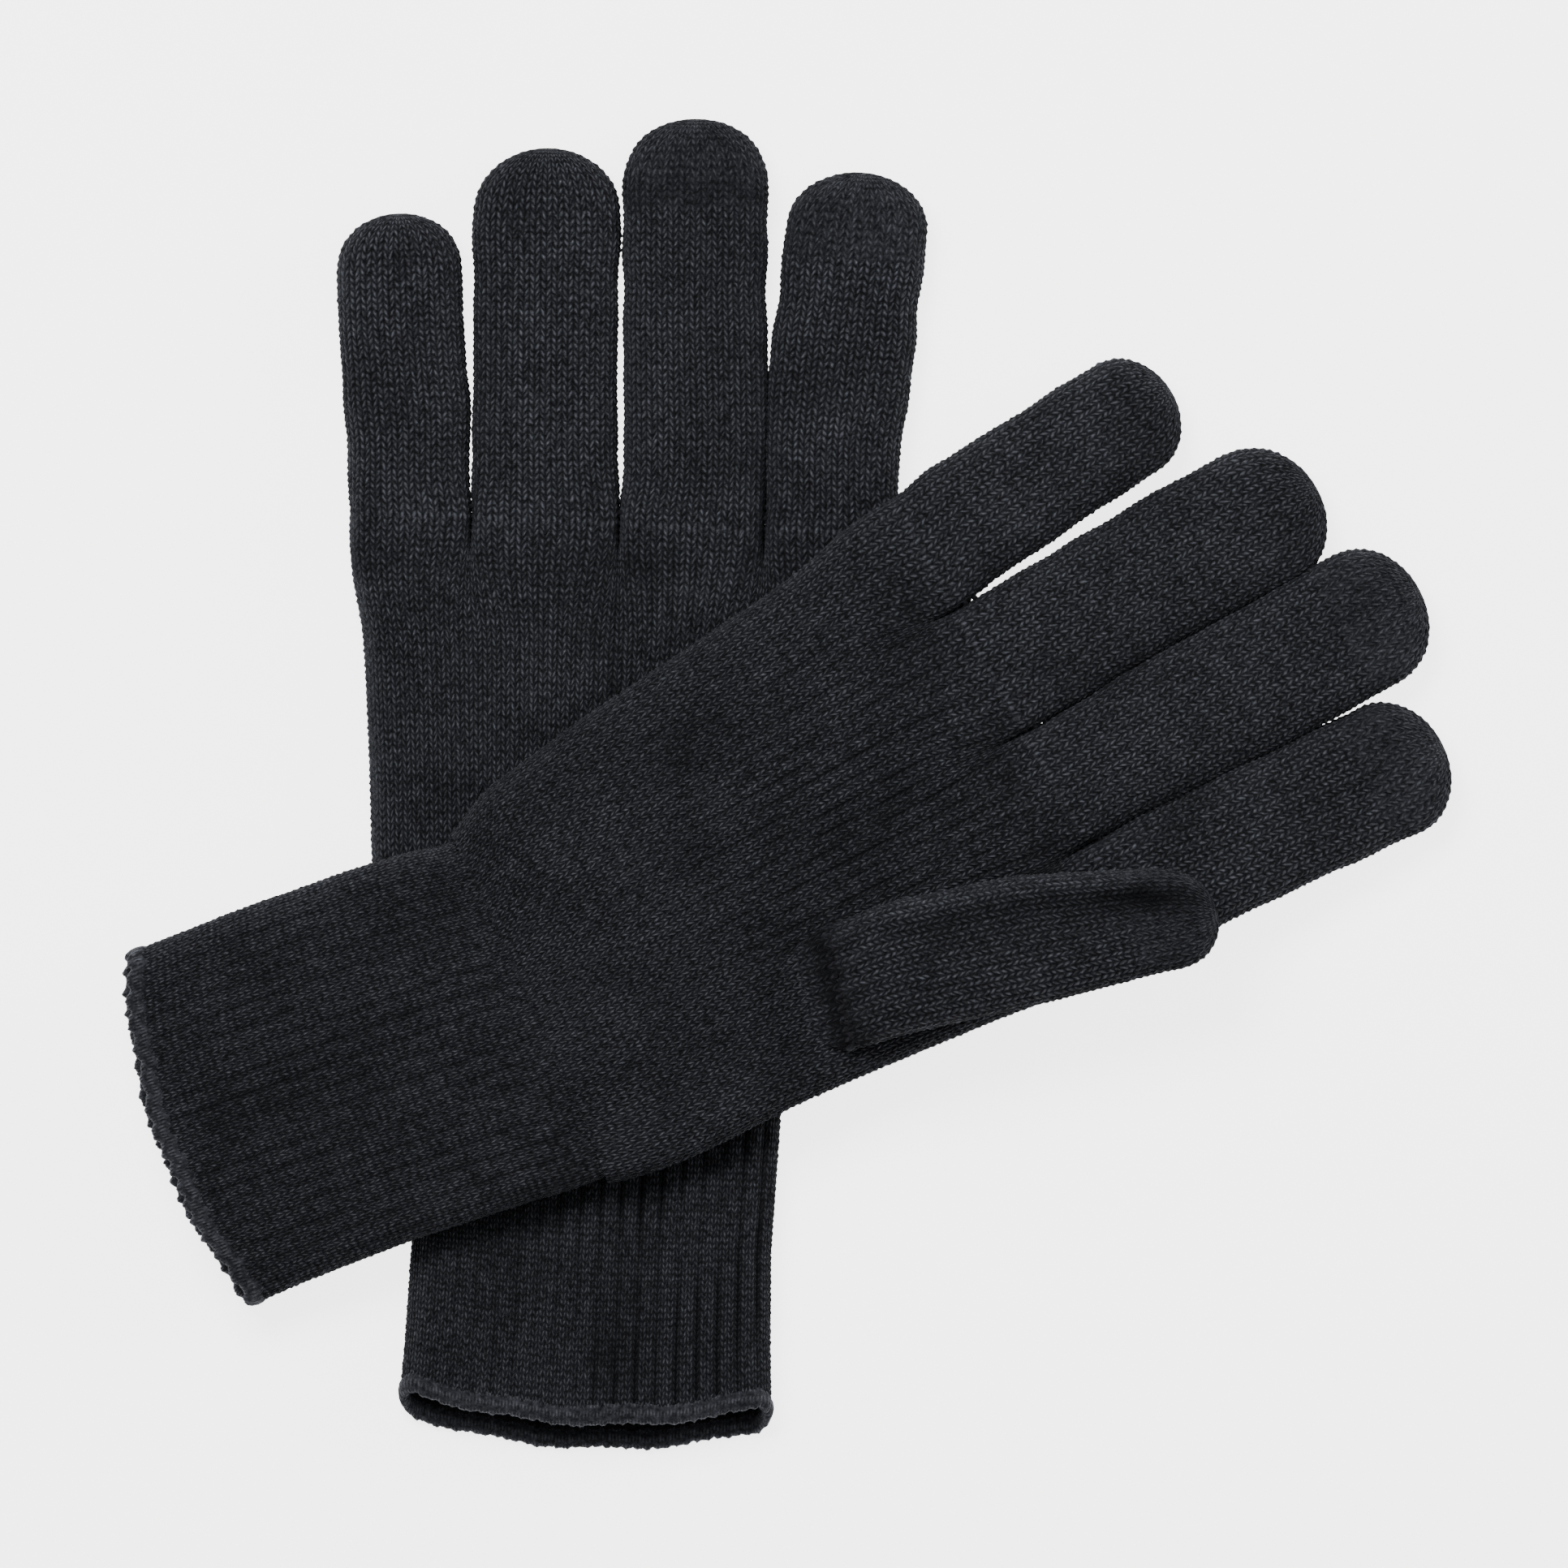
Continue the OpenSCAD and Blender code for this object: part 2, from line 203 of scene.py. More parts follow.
def knitted_finish(name, deep, pale, gap_shade, bump, sheen=0.05):
    """A matte yarn finish between two colours, with painted shade in the gaps between the legs."""
    finish = bpy.data.materials.new(name)
    finish.use_nodes = True
    tree = finish.node_tree
    shader = tree.nodes["Principled BSDF"]
    shader.inputs["Roughness"].default_value = 0.88
    shader.inputs["Specular IOR Level"].default_value = 0.10
    shader.inputs["Sheen Weight"].default_value = sheen
    shader.inputs["Sheen Roughness"].default_value = 0.45
    shader.inputs["Sheen Tint"].default_value = (0.8, 0.85, 1.0, 1)
    uv = tree.nodes.new("ShaderNodeUVMap")
    uv.uv_map = "stitches"
    place = tree.nodes.new("ShaderNodeTexCoord")
    marks = tree.nodes.new("ShaderNodeGroup")
    marks.node_tree = stitch_marks
    tree.links.new(uv.outputs["UV"], marks.inputs["Stitch"])
    tree.links.new(place.outputs["Object"], marks.inputs["Place"])
    yarn = tree.nodes.new("ShaderNodeMix")
    yarn.data_type = "RGBA"
    yarn.inputs["A"].default_value = (*deep, 1)
    yarn.inputs["B"].default_value = (*pale, 1)
    tree.links.new(marks.outputs["Tone"], yarn.inputs["Factor"])
    shade = tree.nodes.new("ShaderNodeMix")
    shade.data_type = "RGBA"
    shade.blend_type = "MULTIPLY"
    shade.inputs["B"].default_value = (gap_shade, gap_shade, gap_shade * 1.05, 1)
    tree.links.new(marks.outputs["Gap"], shade.inputs["Factor"])
    tree.links.new(yarn.outputs["Result"], shade.inputs["A"])
    # Painted shade: the painted_shade attribute mixes the yarn colour towards near black in
    # creases, dips, hollows, grooves and on the steep sides of the tubes.
    painted_shade = tree.nodes.new("ShaderNodeAttribute")
    painted_shade.attribute_name = "painted_shade"
    hollow = tree.nodes.new("ShaderNodeMix")
    hollow.data_type = "RGBA"
    hollow.inputs["B"].default_value = (0.0012, 0.0012, 0.0015, 1)
    tree.links.new(painted_shade.outputs["Fac"], hollow.inputs["Factor"])
    tree.links.new(shade.outputs["Result"], hollow.inputs["A"])
    tree.links.new(hollow.outputs["Result"], shader.inputs["Base Color"])
    rise = tree.nodes.new("ShaderNodeBump")
    rise.inputs["Strength"].default_value = bump
    rise.inputs["Distance"].default_value = 0.00035
    tree.links.new(marks.outputs["Height"], rise.inputs["Height"])
    tree.links.new(rise.outputs["Normal"], shader.inputs["Normal"])
    return finish


DEEP_YARN = (0.0170, 0.0177, 0.0208)
PALE_YARN = (0.1230, 0.1285, 0.1520)
charcoal_knit = knitted_finish("charcoal_knit", DEEP_YARN, PALE_YARN, gap_shade=0.12, bump=1.0)

# ---- Left hand ----
# The back and palm of the left glove, one seamless tube of plain knit: 57 wales wide
# and about 78 courses long, each stitch a V of two raised legs. It opens to the cuff
# at the wrist and parts into four finger tubes at the crotch line.

WALE_COLUMNS = 4       # mesh columns to a wale
COURSE_ROWS = 2        # mesh rows to a course
COURSE = 1.25          # one course, in millimetres, as all lengths of the gloves are
HAND_WALES = (13, 15, 15, 14)      # wales over the little, ring, middle and index finger
HALF_THICK = 4.3       # from the middle of a glove lying flat to its upper face
WALL = 1.2             # one layer of knit
FULL_WALE = 1.5        # a wale at least this wide shows its stitches in full
WALE_SLIDE = 0.9       # courses from a stitch's foot to its head along the wale
NEARLY_NONE = 1e-12


def ease(t):
    """Smooth step from 0 to 1."""
    t = np.clip(t, 0.0, 1.0)
    return t * t * (3 - 2 * t)


def flat_oval(half_width, half_height, columns, corner=1.5, flat=2.3):
    """Half outline of a soft flat tube, from its left edge over the top to its right
    edge, as columns + 1 evenly spaced points: arrays x and z for each row."""
    half_width = np.atleast_1d(np.asarray(half_width, float))
    half_height = np.atleast_1d(np.asarray(half_height, float))
    half_height = np.broadcast_to(half_height, half_width.shape)
    fine_points, hairline = 361, 1e-9
    t = np.linspace(0, math.pi, fine_points)
    end = np.minimum(half_width, half_height * corner + hairline)
    x = -half_width[:, None] * np.cos(t)[None, :]
    past = np.clip((np.abs(x) - (half_width - end)[:, None]) / end[:, None], 0, 1)
    z = half_height[:, None] * np.sqrt(np.clip(1 - past ** flat, 0, 1))
    run = np.hypot(np.diff(x, axis=1), np.diff(z, axis=1))
    dist = np.concatenate([np.zeros((len(x), 1)), np.cumsum(run, axis=1)], axis=1)
    xs = np.empty((len(x), columns + 1))
    zs = np.empty((len(x), columns + 1))
    for i in range(len(x)):
        total = max(dist[i, -1], hairline)
        want = np.linspace(0, total, columns + 1)
        xs[i] = np.interp(want, dist[i], x[i])
        zs[i] = np.interp(want, dist[i], z[i])
    return xs, zs


def ring_of(top_x, top_z):
    """A closed ring from its top half outline, which runs back under it as its mirror."""
    return (np.concatenate([top_x, top_x[:, -2::-1]], axis=1),
            np.concatenate([top_z, -top_z[:, -2::-1]], axis=1))


def rib_groove(columns, wales):
    """Where a 2 by 1 rib sinks in, from 0 on the ribs to 1 in the middle of a groove."""
    repeat, groove = 3, 0.50
    place = (np.arange(columns + 1) / WALE_COLUMNS % wales + 0.5) % repeat
    return np.exp(-(np.minimum(place, repeat - place) / groove) ** 2)


def stitch_relief(columns, rows, wales, rib=None):
    """How far each mesh point stands out, in millimetres, and how far it slides along
    its wale, in courses, so that two slanting legs make each stitch."""
    column = np.arange(columns + 1)
    phase = (column % WALE_COLUMNS) / WALE_COLUMNS
    from_centre = np.abs(phase - 0.5) * 2
    leg = 1 - np.abs(from_centre - 0.5) * 2
    course = (np.cos(np.arange(rows) * 2 * math.pi / COURSE_ROWS) + 1) / 2
    leg_all, leg_head, head, groove_deep = 0.10, 0.20, 0.06, 0.55
    rise = leg_all * leg[None, :] + (leg_head * leg[None, :] + head) * course[:, None]
    slide = from_centre[None, :] * WALE_SLIDE + np.zeros((rows, 1))
    if rib is not None:
        rise = rise - groove_deep * rib_groove(columns, wales)[None, :] * rib
    return rise, slide


def soft_waves(x, y, seed, height):
    """Slow unevenness of cloth lying loose, in millimetres: ten waves of seeded
    direction, length and strength added up."""
    rng = np.random.default_rng(seed)
    total = np.zeros(np.broadcast(x, y).shape)
    for _ in range(10):
        angle = rng.uniform(0, math.pi)
        length = rng.uniform(18, 60)
        across = x * math.cos(angle) + y * math.sin(angle)
        total += (np.sin(across * 2 * math.pi / length + rng.uniform(0, 6.28))
                  * rng.uniform(0.3, 1))
    return total * height / 3


def knit_mesh(points, rise, slide, fade, seed):
    """Places the mesh points of a knitted tube: rows by columns by xyz, in millimetres.
    Each point moves out from the surface by its rise and along its wale by its slide,
    a little unevenly where fade is 1 and evenly where it is 0."""
    points = points.copy()
    shape = points.shape[:2]
    du = np.roll(points[:, :-1], -1, axis=1) - np.roll(points[:, :-1], 1, axis=1)
    du = np.concatenate([du, du[:, :1]], axis=1)
    dv = np.gradient(points, axis=0)
    out = np.cross(du, dv)
    out /= np.linalg.norm(out, axis=2, keepdims=True) + NEARLY_NONE
    for _ in range(2):
        out[1:-1] = (out[:-2] + 2 * out[1:-1] + out[2:]) / 4
    out /= np.linalg.norm(out, axis=2, keepdims=True) + NEARLY_NONE
    wale = np.linalg.norm(du, axis=2) / 2 * WALE_COLUMNS
    room = np.clip(wale / FULL_WALE, 0, 1)
    rng = np.random.default_rng(seed)
    uneven_rise, uneven_step, sink = 0.055, 0.08, 0.14
    uneven = rng.normal(0, uneven_rise, shape)
    uneven[:, -1] = uneven[:, 0]
    step = rng.normal(0, uneven_step, shape)
    step[:, -1] = step[:, 0]
    wander = soft_waves(points[..., 0] * 2.2, points[..., 1] * 1.1, seed + 100, 0.07)
    stand_out = (rise - sink + uneven * fade) * room
    run_on = (slide - WALE_SLIDE / 2 + step * fade) * COURSE_ROWS * np.clip(room * 1.2, 0, 1)
    points += du / 2 * (wander * fade * room)[:, :, None]
    points += out * stand_out[:, :, None]
    points += dv * run_on[:, :, None]
    return points


def laid(glove, points):
    """Moves points from a glove's own frame, in millimetres, to the table, in metres."""
    turn = math.radians(glove["turn"])
    x, y, z = points[..., 0], points[..., 1], points[..., 2]
    return np.stack([
        glove["wrist"][0] + x * math.cos(turn) - y * math.sin(turn),
        glove["wrist"][1] + x * math.sin(turn) + y * math.cos(turn),
        z + glove["lift"],
    ], axis=-1) / 1000


def knitted_piece(name, glove, points, finish, first_row=0, capped=True, painted_shade=None):
    """A closed knitted tube as an object. Where it is capped, its first and last rows of
    points close it: each is flat, so its two halves are merged. UVs count wales and
    courses, and painted_shade tells the finish how much painted shade each point gets, 0 to 1."""
    rows, columns = points.shape[0], points.shape[1] - 1
    table_gap, merge_distance = 0.03 / 1000, 0.000004
    world = laid(glove, points)
    world[..., 2] = np.maximum(world[..., 2], table_gap)
    bm = bmesh.new()
    uv = bm.loops.layers.uv.new("stitches")
    bmesh.ops.create_grid(bm, x_segments=columns, y_segments=rows - 1, size=1, calc_uvs=True)
    for face in bm.faces:
        for loop in face.loops:
            across, along = loop.vert.co.x, loop.vert.co.y
            loop[uv].uv = ((across + 1) / 2 * columns / WALE_COLUMNS,
                           ((along + 1) / 2 * (rows - 1) + first_row) / COURSE_ROWS)
    # The painted_shade attribute: painted shade for each point, read by the finish.
    depth = bm.verts.layers.float.new("painted_shade")
    seams = []
    closing = set()
    for vert in bm.verts:
        i = round((vert.co.x + 1) / 2 * columns)
        j = round((vert.co.y + 1) / 2 * (rows - 1))
        vert.co = world[j, i]
        vert[depth] = 0.0 if painted_shade is None else float(np.clip(painted_shade[j, i], 0, 1))
        if i in (0, columns) or j in (0, rows - 1):
            seams.append(vert)
        if capped and j in (1, rows - 2):
            closing.add(vert)
    for edge in bm.edges:
        if edge.verts[0] in closing and edge.verts[1] in closing:
            edge.smooth = False
    bmesh.ops.remove_doubles(bm, verts=seams, dist=merge_distance)
    bmesh.ops.recalc_face_normals(bm, faces=bm.faces)
    mesh = bpy.data.meshes.new(name)
    bm.to_mesh(mesh)
    bm.free()
    mesh.shade_smooth()
    mesh.materials.append(finish)
    piece = bpy.data.objects.new(name, mesh)
    scene.collection.objects.link(piece)
    return piece


def flattened(row):
    """A copy of one row of ring points with its two halves brought to one line."""
    return (row + row[::-1]) / 2


def tucked_row(row, shift, inset):
    """A row of ring points moved by shift and drawn in all round by inset, so that it
    tucks under the piece that it is knitted on to."""
    row = row + np.asarray(shift, float)
    low, high = row.min(axis=0), row.max(axis=0)
    middle = (low + high) / 2
    reach = np.maximum((high - low) / 2, 1e-6)
    reach[1] = max(reach[0], reach[1])
    return middle + (row - middle) * np.clip(1 - inset / reach, 0, 1)


def side_shade(height, half):
    """Painted shade for the steep sides of a tube: 0 on its flat faces, most at its edges."""
    return 0.42 * (1 - np.clip(np.abs(height) / half, 0, 1)) ** 1.1


def crotch_shade(height):
    """Painted shade in the dips between the roots of two fingers."""
    from_middle = np.clip(np.abs(height) / HALF_THICK, 0, 1)
    return 0.45 * np.exp(-(from_middle / 0.75) ** 4)


# How the left glove lies, in millimetres and degrees. Edges are those of the finger roots
# along the crotch line, roots, fan, widths, lengths, bend and droop are the fingers' from
# the little to the index finger, and the rest shapes the cuff. A dent is x, y, two reaches
# and a depth, and its low ground gets painted shade; long_lines are sunken lines between
# wales, given in the same way and darkened with painted shade.
left_glove = {
    "name": "left",
    "wrist": (-33.2, -50.7),
    "turn": -2.4,
    "lift": 0.0,
    "hand_len": 98.0,
    "low_edge": [33.5, 36.2, 39.2, 42.6, 43.7, 45.6, 49.2],
    "high_edge": [33.5, 36.2, 39.4, 42.6, 43.8, 45.8, 49.6],
    "dents": ((0, 90, 60, 4, 0.35), (-27, 92, 7, 5, 0.5), (-1, 94, 6, 5, 0.5),
              (26, 93, 9, 4, 0.7), (-44, 88, 8, 4, 0.6), (12, 99, 8, 3, 0.5),
              (-20, 60, 30, 9, 0.4)),
    "long_lines": (8, 86, 40, 24, 0.12),
    "edges": (-49.2, -27.3, -0.6, 25.6, 49.6),
    "roots": (-38.8, -13.9, 12.9, 37.6),
    "fan": (4.9, 2.4, 2.4, -2.2),
    "widths": (22.4, 26.3, 26.1, 25.3),
    "lengths": (54.2, 67.0, 73.4, 65.0),
    "bend": (([0, 15, 34, 54], [0, 0.8, 0.2, 0.5]), ([0, 14, 40, 66], [0, -0.2, 0, 0.3]),
             ([0, 16, 40, 73], [0, 0.5, 0.1, 0.3]), ([0, 16, 40, 64], [0, -1.1, -0.2, 0.6])),
    "droop": (0, 0, 0, 0),
    "mouth": (4.8, 2.5, 4.2),
    "rib": ([-1, -0.2, 0.3, 1], [0.3, 0.45, 0.95, 0.95]),
    "cuff_bulge": 0.3,
    "scallop": 0.10,
    "cap_band": (0, 0, 0.36, 0.05),
    "swing": 0.0,
    "drop": 0.0,
    "seed": 11,
}


def finger_outline(glove, finger):
    """Half the ring of a finger where it leaves the hand, in the glove's frame."""
    low, high = glove["edges"][finger], glove["edges"][finger + 1]
    xs, zs = flat_oval((high - low) / 2, HALF_THICK, HAND_WALES[finger] * WALE_COLUMNS,
                       corner=0.8, flat=2.6)
    return xs[0] + (low + high) / 2, zs[0]


def bump_at(x, y, middle_x, middle_y, reach_x, reach_y):
    """A soft round hump, 1 at its middle and fading out over its reaches."""
    return np.exp(-((x - middle_x) / reach_x) ** 2 - ((y - middle_y) / reach_y) ** 2)


def hand_points(glove):
    """The rows of a hand's outside from the wrist up to the crotch line, where the rings
    of the four fingers stand side by side, their distances and their painted shade."""
    columns = sum(HAND_WALES) * WALE_COLUMNS
    length = glove["hand_len"]
    courses = round(length / COURSE)
    rows = courses * COURSE_ROWS + 1
    y = np.linspace(0, length, rows)
    measured_at = [0, 6, 14, 34, 51, 73, length]
    low = np.interp(y, measured_at, glove["low_edge"])
    high = np.interp(y, measured_at, glove["high_edge"])
    for _ in range(30):
        for line in (low, high):
            line[1:-1] = (line[:-2] + 2 * line[1:-1] + line[2:]) / 4
    half = (low + high) / 2
    height = np.interp(y, [0, 8, 20, length], HALF_THICK - np.array([0.4, 0.05, 0, 0]))
    xs, zs = flat_oval(half, height, columns)
    xs += ((high - low) / 2)[:, None]
    crotch_x = []
    crotch_z = []
    for finger in range(4):
        fx, fz = finger_outline(glove, finger)
        crotch_x.extend(fx if finger == 0 else fx[1:])
        crotch_z.extend(fz if finger == 0 else fz[1:])
    spread_over, pinch_over = 22, 13
    near = ease((y - (length - spread_over)) / spread_over)[:, None]
    pinch = (ease((y - (length - pinch_over)) / pinch_over) ** 2.2)[:, None]
    xs = xs * (1 - near) + np.array(crotch_x)[None, :] * near
    zs = zs * (1 - pinch) + np.array(crotch_z)[None, :] * pinch
    top_x, top_z = ring_of(xs, zs)
    turn = np.radians(glove["swing"]) / 2 * (1 - ease(y / 14))[:, None]
    ring_x = top_x * np.cos(turn)
    ring_y = y[:, None] + top_x * np.sin(turn)
    upper = (np.arange(top_x.shape[1]) <= columns)[None, :]
    wave = soft_waves(ring_x, ring_y, glove["seed"], 0.42)
    wave = wave * (1 - pinch) * np.clip(y / 12, 0, 1)[:, None]
    inner = np.clip(top_z / HALF_THICK, 0, 1) ** 0.5
    dents = np.zeros(ring_x.shape)
    for dent_x, dent_y, size_x, size_y, deep in glove["dents"]:
        dents -= deep * bump_at(ring_x, ring_y, dent_x, dent_y, size_x, size_y)
    ring_z = HALF_THICK + top_z + np.where(upper, (wave + dents) * inner, 0)
    points = np.stack([ring_x, ring_y, ring_z], axis=-1)
    # Painted shade on the low ground of the waves and dents, on the tube's sides and in the dips at
    # the crotch.
    painted_shade = np.where(upper, 0.45 * np.clip(-wave - dents - 0.1, 0, 1.4), 0)
    painted_shade = painted_shade * ease((length - y) / 8)[:, None]
    painted_shade += side_shade(top_z, HALF_THICK) + crotch_shade(top_z) * pinch
    return points, y, painted_shade


def hand_piece(glove, finish):
    """The knitted hand, with a pocket inside it that opens to the cuff."""
    points, y, painted_shade = hand_points(glove)
    rows, columns = points.shape[0], points.shape[1] - 1
    rise, slide = stitch_relief(columns, rows, sum(HAND_WALES) * 2)
    line_x, line_y, line_w, line_l, line_deep = glove["long_lines"]
    lines = bump_at(points[..., 0], points[..., 1], line_x, line_y, line_w, line_l)
    line_every = 2 * WALE_COLUMNS
    from_line = np.arange(columns + 1) % line_every
    from_line = np.minimum(from_line, line_every - from_line)[None, :]
    broken = 0.7 + soft_waves(points[..., 0] * 9, points[..., 1] * 2.5, glove["seed"] + 7, 0.9)
    lines = (lines * np.clip(broken, 0, 1) * np.clip(1 - from_line / 2, 0, 1)
             * ease((y[-1] - y) / 10)[:, None])
    rise = rise - line_deep * lines
    # Painted shade along the sunken long lines between wales.
    painted_shade = painted_shade + 4.0 * line_deep * lines
    fade = np.minimum(ease(y / 1.5), ease((y[-1] - y) / 2.0))[:, None]
    outside = knit_mesh(points, rise, slide, fade, glove["seed"])
    half_wrist = 34
    pocket = []
    for depth in (62, 40, 20, 8, 0):
        row = outside[np.argmin(np.abs(y - depth))].copy() if depth else points[0].copy()
        middle = row.mean(axis=0)
        spread = row - middle
        spread[:, 0] *= 1 - WALL / half_wrist
        spread[:, 2] *= 1 - WALL / HALF_THICK
        pocket.append(middle + spread)
    shell = np.concatenate([flattened(pocket[0])[None], np.array(pocket), outside,
                            flattened(outside[-1])[None]])
    before = len(pocket) + 1
    painted_shade = np.pad(painted_shade, ((before, 1), (0, 0)), mode="edge")
    piece = knitted_piece(glove["name"] + "_hand_knit", glove, shell, finish, -before, painted_shade=painted_shade)
    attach(piece, glove["name"] + "_hand")
    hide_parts(glove["name"] + "_hand")


hand_piece(left_glove, charcoal_knit)

# ---- Left fingers ----
# Four seamless tubes knitted on from the hand, each closed and rounded off at its
# tip. The middle and index finger end in caps of dark conductive yarn, which a
# touchscreen feels as a fingertip.

DEEP_TOUCH = (0.0165, 0.0172, 0.0202)
PALE_TOUCH = (0.1026, 0.1067, 0.1255)
touch_knit = knitted_finish("touch_knit", DEEP_TOUCH, PALE_TOUCH, gap_shade=0.28, bump=1.2,
                            sheen=0.045)

FINGER_NAMES = ("little", "ring", "middle", "index")
TIP_ROUND = (0.95, 0.95, 0.9, 0.9)     # length of each rounded tip in half widths
TIP_ARC = 1.32         # length of knit over a rounded tip, in lengths of the tip
ROOT_LENGTH = 9.0      # over which a finger turns from its root's ring to its own
TOUCH_LENGTH = 16.0    # the cap of conductive yarn


def tube_profile(length, half_width, half_height, root_half, rows_d, tip_round):
    """Half width and half height of a finger at each distance along it."""
    tip = half_width * tip_round
    t = np.clip((rows_d - (length - tip)) / tip, 0, 1)
    body = root_half + (half_width - root_half) * ease((rows_d - 2) / 26)
    width = body * np.sqrt(np.clip(1 - t ** 2.15, 0, 1))
    height = half_height * np.clip(1 - t ** 3.2, 0, 1) ** 0.5
    least = 0.02
    return np.maximum(width, least), np.maximum(height, least)


def along_finger(length, half_width, tip_round):
    """Distances of the mesh rows along a finger: even on the tube, closer round the tip
    so that the courses stay even over the curve."""
    tip = half_width * tip_round
    straight = length - tip
    arc = tip * TIP_ARC
    courses = round((straight + arc) / COURSE)
    s = np.linspace(0, straight + arc, courses * COURSE_ROWS + 1)
    bend = np.clip((s - straight) / arc, 0, 1) * math.pi / 2
    return np.where(s <= straight, s, straight + tip * np.sin(bend))


def finger_points(glove, finger):
    """The rows of a finger from its root to its tip, their distances and painted shade."""
    length, half = glove["lengths"][finger], glove["widths"][finger] / 2
    d = along_finger(length, half, TIP_ROUND[finger])
    columns = HAND_WALES[finger] * WALE_COLUMNS
    low, high = glove["edges"][finger], glove["edges"][finger + 1]
    wide, tall = tube_profile(length, half, HALF_THICK - 0.1, (high - low) / 2, d,
                              TIP_ROUND[finger])
    wider = soft_waves(d * 2, 40 * finger, glove["seed"] + 50, 0.022) * ease(d / 12)
    wide = wide * (1 + wider)
    xs, zs = flat_oval(wide, tall, columns, corner=1.6, flat=2.2)
    root_x, root_z = finger_outline(glove, finger)
    part = ease(d / ROOT_LENGTH)[:, None]
    bend_x = np.interp(d, *glove["bend"][finger])
    for _ in range(20):
        bend_x[1:-1] = (bend_x[:-2] + 2 * bend_x[1:-1] + bend_x[2:]) / 4
    tube_x = xs + bend_x[:, None]
    fan = math.radians(glove["fan"][finger])
    slope = np.radians(glove["droop"][finger]) * ease((d - 1) / 14)
    slope = (slope[1:] + slope[:-1]) / 2
    run = np.concatenate([[0], np.cumsum(np.cos(slope) * np.diff(d))])[:, None]
    fall = np.concatenate([[0], np.cumsum(np.sin(slope) * np.diff(d))])[:, None]
    fanned_x = glove["roots"][finger] + tube_x * math.cos(fan) - run * math.sin(fan)
    fanned_y = glove["hand_len"] + tube_x * math.sin(fan) + run * math.cos(fan)
    straight_x = root_x[None, :] - run * math.sin(fan)
    straight_y = glove["hand_len"] + run * math.cos(fan)
    x = straight_x * (1 - part) + fanned_x * part
    y = straight_y * (1 - part) + fanned_y * part
    z = root_z[None, :] * (1 - part) + zs * part
    ring_x, ring_z = ring_of(x, z)
    ring_y, _ = ring_of(y, z)
    upper = (np.arange(ring_x.shape[1]) <= columns)[None, :]
    full = (tall / HALF_THICK)[:, None]
    wave = soft_waves(ring_x, ring_y, glove["seed"] + finger + 3, 0.5) * part
    wave = wave * np.clip(full, 0, 1) * np.clip(np.abs(ring_z) / HALF_THICK, 0, 1) ** 0.5
    points = np.stack([ring_x, ring_y,
                       HALF_THICK + ring_z + np.where(upper, wave, 0) - fall], axis=-1)
    # Painted shade on the tube's sides, in the dips at its root and on the low ground of its waves.
    painted_shade = side_shade(ring_z, HALF_THICK) * np.clip(full * 1.4, 0, 1)
    painted_shade += crotch_shade(ring_z) * (1 - part)
    painted_shade += np.where(upper, 0.5 * np.clip(-wave - 0.12, 0, 1), 0)
    return points, d, painted_shade


def finger_pieces(glove, finger, cap_finish):
    """A finger's tube, and its cap where it has one."""
    points, d, painted_shade = finger_points(glove, finger)
    rows, columns = points.shape[0], points.shape[1] - 1
    rise, slide = stitch_relief(columns, rows, HAND_WALES[finger] * 2)
    tip_fade = np.clip((rows - 1 - np.arange(rows)) / 4, 0, 1)
    fade = np.minimum(ease(d / 2.0), tip_fade)[:, None]
    skin = knit_mesh(points, rise, slide, fade, glove["seed"] + 20 + finger)
    side, name = glove["name"], FINGER_NAMES[finger]
    fan = math.radians(glove["fan"][finger])
    ahead = np.array([-math.sin(fan), math.cos(fan), 0])
    last = rows - 1
    if cap_finish is not None:
        last = int(np.argmin(np.abs(d - (glove["lengths"][finger] - TOUCH_LENGTH))))
        cap = np.concatenate([flattened(skin[last])[None], skin[last:],
                              flattened(skin[-1])[None]])
        into_cap = (d[last:] - d[last])[:, None] + 0.9 * np.sin(points[last:, :, 0] * 0.7)
        # cap_band darkens a band with a wavy edge along the cap's first few millimetres; it rides
        # in the painted_shade attribute.
        band = glove["cap_band"][finger] * np.exp(-((into_cap - 2.6) / 2.8) ** 4)
        cap_painted_shade = np.pad(painted_shade[last:] + band, ((1, 1), (0, 0)), mode="edge")
        cap_piece = knitted_piece(f"{side}_{name}_touch_cap", glove, cap, cap_finish,
                                  last - 1, painted_shade=cap_painted_shade)
        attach(cap_piece, f"{side}_{name}")
        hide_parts(f"{side}_{name}_tip")
    tucked = tucked_row(skin[0], -1.6 * ahead, inset=0.5)
    tube = np.concatenate([flattened(tucked)[None], tucked[None], skin[:last + 1],
                           flattened(skin[last])[None]])
    tube_painted_shade = np.pad(painted_shade[:last + 1], ((2, 1), (0, 0)), mode="edge")
    piece = knitted_piece(f"{side}_{name}_finger_knit", glove, tube, charcoal_knit, -2,
                          painted_shade=tube_painted_shade)
    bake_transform(piece)
    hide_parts(f"{side}_{name}_finger")


FINGER_CAPS = (None, None, touch_knit, touch_knit)
for finger, cap in enumerate(FINGER_CAPS):
    finger_pieces(left_glove, finger, cap)

# ---- Left cuff ----
# A band of 2 by 1 rib that runs straight on from the hand's wales and grips the
# wrist. It is open at the mouth, where its two layers stand a little apart.

rib_knit = knitted_finish("rib_knit", DEEP_YARN, PALE_YARN, gap_shade=0.12, bump=1.0)

CUFF_LENGTH = 67.0
CUFF_HALF = 33         # half the cuff's width, about
HEM_LENGTH = 4.0


